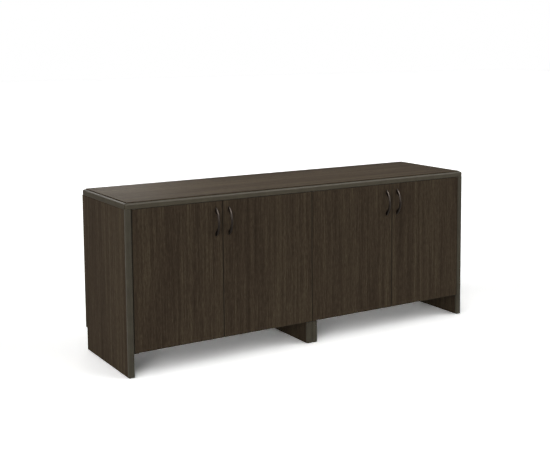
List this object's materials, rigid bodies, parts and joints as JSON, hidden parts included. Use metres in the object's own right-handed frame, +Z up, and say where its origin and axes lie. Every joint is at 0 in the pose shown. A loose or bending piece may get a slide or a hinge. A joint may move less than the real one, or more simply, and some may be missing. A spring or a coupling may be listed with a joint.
{
  "type": "office credenza",
  "caption": "Low office storage credenza: two open-toe cabinets under one moulded worktop, with swinging doors, bowed pulls, fixed bottoms and loose shelves.",
  "frame": {"origin": "centre of the footprint, pulls included, at floor level", "axes": "+X along the front to the right as seen from the front, +Y from the front to the back, +Z up"},
  "size_m": [1.829, 0.538, 0.749],
  "materials": {
    "laminate": "matt espresso wood-grain laminate on board",
    "edge_moulding": "satin grey-brown plastic edge",
    "dark_bronze": "satin dark bronze coat",
    "black_steel": "black-coated steel",
    "plated_steel": "zinc-plated steel",
    "screw_steel": "zinc-plated steel",
    "cast_zinc": "bare cast zinc, as cast",
    "bush_nylon": "dark brown nylon",
    "catch_plastic": "moulded brown plastic",
    "glide_plastic": "hard black plastic",
    "beech": "plain fluted beech"
  },
  "bodies": {
    "carcass": {"worktop": "laminate", "worktop_edge_front": "edge_moulding", "worktop_edge_rear": "edge_moulding", "worktop_edge_left": "edge_moulding", "worktop_edge_right": "edge_moulding", "left_end_panel": "laminate", "right_end_panel": "laminate", "left_end_panel_edge": "edge_moulding", "right_end_panel_edge": "edge_moulding", "left_centre_panel": "laminate", "right_centre_panel": "laminate", "left_centre_panel_edge": "edge_moulding", "right_centre_panel_edge": "edge_moulding", "left_bottom_panel": "laminate", "right_bottom_panel": "laminate", "left_back_panel": "laminate", "right_back_panel": "laminate", "left_front_rail": "laminate", "right_front_rail": "laminate", "left_rear_rail": "laminate", "right_rear_rail": "laminate", "left_shelf": "laminate", "right_shelf": "laminate", "shelf_pins": "plated_steel", "floor_glides": "glide_plastic", "lower_pivot_plates": "black_steel", "upper_pivot_plates": "black_steel", "pivot_pins": "black_steel", "plate_and_catch_screws": "screw_steel", "magnetic_catches": "catch_plastic", "cam_locks": "cast_zinc", "cam_bolts": "screw_steel", "wood_dowels": "beech", "cabinet_connectors": "screw_steel", "worktop_screws": "screw_steel", "back_panel_screws": "screw_steel"},
    "left_outer_door": {"left_outer_door_panel": "laminate", "left_outer_door_edging": "edge_moulding", "left_outer_pull": "dark_bronze", "left_outer_pull_screws": "screw_steel", "left_outer_hinge_bushes": "bush_nylon", "left_outer_strike_plate": "plated_steel"},
    "left_inner_door": {"left_inner_door_panel": "laminate", "left_inner_door_edging": "edge_moulding", "left_inner_pull": "dark_bronze", "left_inner_pull_screws": "screw_steel", "left_inner_hinge_bushes": "bush_nylon", "left_inner_strike_plate": "plated_steel"},
    "right_inner_door": {"right_inner_door_panel": "laminate", "right_inner_door_edging": "edge_moulding", "right_inner_pull": "dark_bronze", "right_inner_pull_screws": "screw_steel", "right_inner_hinge_bushes": "bush_nylon", "right_inner_strike_plate": "plated_steel"},
    "right_outer_door": {"right_outer_door_panel": "laminate", "right_outer_door_edging": "edge_moulding", "right_outer_pull": "dark_bronze", "right_outer_pull_screws": "screw_steel", "right_outer_hinge_bushes": "bush_nylon", "right_outer_strike_plate": "plated_steel"}
  },
  "joints": [
    {"name": "left_outer_door_swing", "type": "hinge", "parent": "carcass", "child": "left_outer_door", "pos_m": [-0.8743, -0.234, 0.41195], "axis": [0, 0, -1], "range_deg": [0, 110]},
    {"name": "left_inner_door_swing", "type": "hinge", "parent": "carcass", "child": "left_inner_door", "pos_m": [-0.01175, -0.234, 0.41195], "axis": [0, 0, 1], "range_deg": [0, 85]},
    {"name": "right_inner_door_swing", "type": "hinge", "parent": "carcass", "child": "right_inner_door", "pos_m": [0.01175, -0.234, 0.41195], "axis": [0, 0, -1], "range_deg": [0, 85]},
    {"name": "right_outer_door_swing", "type": "hinge", "parent": "carcass", "child": "right_outer_door", "pos_m": [0.8743, -0.234, 0.41195], "axis": [0, 0, 1], "range_deg": [0, 110]}
  ]
}
